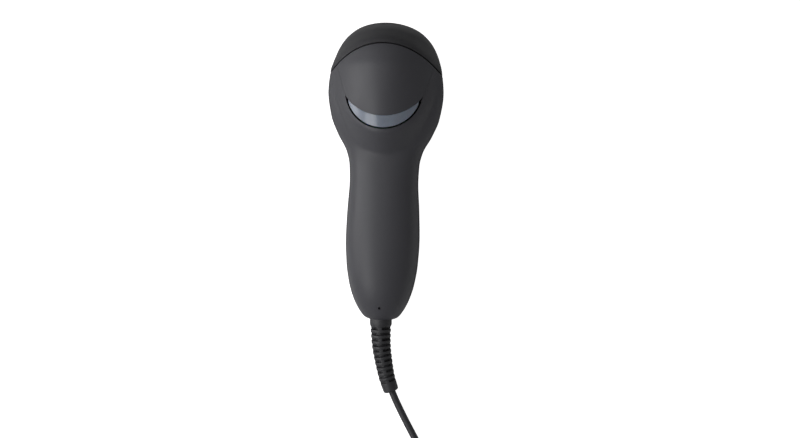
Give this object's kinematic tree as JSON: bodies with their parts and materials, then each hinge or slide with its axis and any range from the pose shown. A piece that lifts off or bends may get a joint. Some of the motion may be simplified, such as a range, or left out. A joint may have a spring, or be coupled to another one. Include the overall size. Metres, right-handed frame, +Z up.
{
  "type": "handheld corded barcode scanner",
  "caption": "Handheld laser barcode scanner: smooth handle, wide hooded head with a domed trigger pad, crescent status light and angled red window, ribbed strain relief and coiled USB cord.",
  "frame": {"origin": "centre of the scanner body's footprint on the table, without the strain relief and cord", "axes": "+Y to the nose, +Z up from the table, +X to the right seen from behind the cord end"},
  "size_m": [0.0968, 0.3143, 0.0497],
  "materials": {
    "charcoal_abs": "fine matte texture",
    "nose_elastomer": "soft matte overmould",
    "red_acrylic": "clear red, polished",
    "clear_polycarbonate": "clear, slightly blue",
    "cord_pvc": "satin",
    "circuit_board": "solder mask",
    "chip_epoxy": "moulded",
    "plated_steel": "plated",
    "brass": "turned",
    "copper_wire": "enamelled wire",
    "die_cast_zinc": "as cast",
    "silvered_mirror": "front silvered",
    "black_rubber": "matt",
    "white_nylon": "moulded",
    "blue_led_epoxy": "clear tinted"
  },
  "bodies": {
    "housing": {"top_cover": "charcoal_abs", "bottom_cover": "charcoal_abs", "nose_bezel": "nose_elastomer", "scan_window": "red_acrylic", "window_gasket": "black_rubber", "housing_screw_left": "plated_steel", "housing_screw_right": "plated_steel", "housing_screw_rear": "plated_steel", "main_board": "circuit_board", "decoder_chip": "chip_epoxy", "memory_chip": "chip_epoxy", "regulator_chip": "chip_epoxy", "clock_crystal": "plated_steel", "stand_sensor": "chip_epoxy", "supply_capacitor": "plated_steel", "beeper": "chip_epoxy", "board_screw_left": "plated_steel", "board_screw_right": "plated_steel", "flat_cable": "white_nylon", "key_board": "circuit_board", "key_screw_left": "plated_steel", "key_screw_right": "plated_steel", "led_blue": "blue_led_epoxy", "led_white": "clear_polycarbonate", "tact_switch": "chip_epoxy", "optics_chassis": "die_cast_zinc", "engine_screw_left": "plated_steel", "engine_screw_right": "plated_steel", "laser_barrel": "brass", "laser_lens": "clear_polycarbonate", "sensor_board": "circuit_board", "photodiode": "chip_epoxy", "red_filter": "red_acrylic", "pivot_pin": "plated_steel", "drive_coil": "copper_wire", "coil_core": "plated_steel", "modular_jack": "chip_epoxy", "modular_plug": "clear_polycarbonate", "strain_relief": "cord_pvc", "cord_free": "cord_pvc", "cord_coil": "cord_pvc", "coil_tie": "cord_pvc", "cord_tail": "cord_pvc", "usb_strain_relief": "cord_pvc", "usb_overmould": "cord_pvc", "usb_shell": "plated_steel", "usb_tongue": "white_nylon"},
    "button": {"scan_button": "charcoal_abs", "status_light_pipe": "clear_polycarbonate"},
    "plunger": {"switch_plunger": "white_nylon"},
    "mirror": {"mirror_carrier": "white_nylon", "scan_mirror": "silvered_mirror", "drive_magnet": "plated_steel"},
    "latch": {"plug_latch": "clear_polycarbonate"}
  },
  "joints": [
    {"name": "button_press", "type": "hinge", "parent": "housing", "child": "button", "pos_m": [0, 0.047, 0.0302], "axis": [1, 0, 0], "range_deg": [0, 1.2], "stiffness_Nm_per_rad": 2.5, "springref_deg": -0.57},
    {"name": "switch_press", "type": "slide", "parent": "housing", "child": "plunger", "axis": [0, 0, -1], "range_m": [0, 0.0003], "stiffness_N_per_m": 0.2},
    {"name": "mirror_dither", "type": "hinge", "parent": "housing", "child": "mirror", "pos_m": [0.0045, 0.04716, 0.02745], "axis": [0, 0.6432, 0.7657], "range_deg": [-10, 10], "stiffness_Nm_per_rad": 0.02},
    {"name": "latch_flex", "type": "hinge", "parent": "housing", "child": "latch", "pos_m": [0, -0.0579, 0.01315], "axis": [1, 0, 0], "range_deg": [0, 5], "stiffness_Nm_per_rad": 0.05}
  ],
  "couplings": [
    {"joint": "switch_press", "follows": "button_press", "m_per_rad": 0.0138}
  ]
}
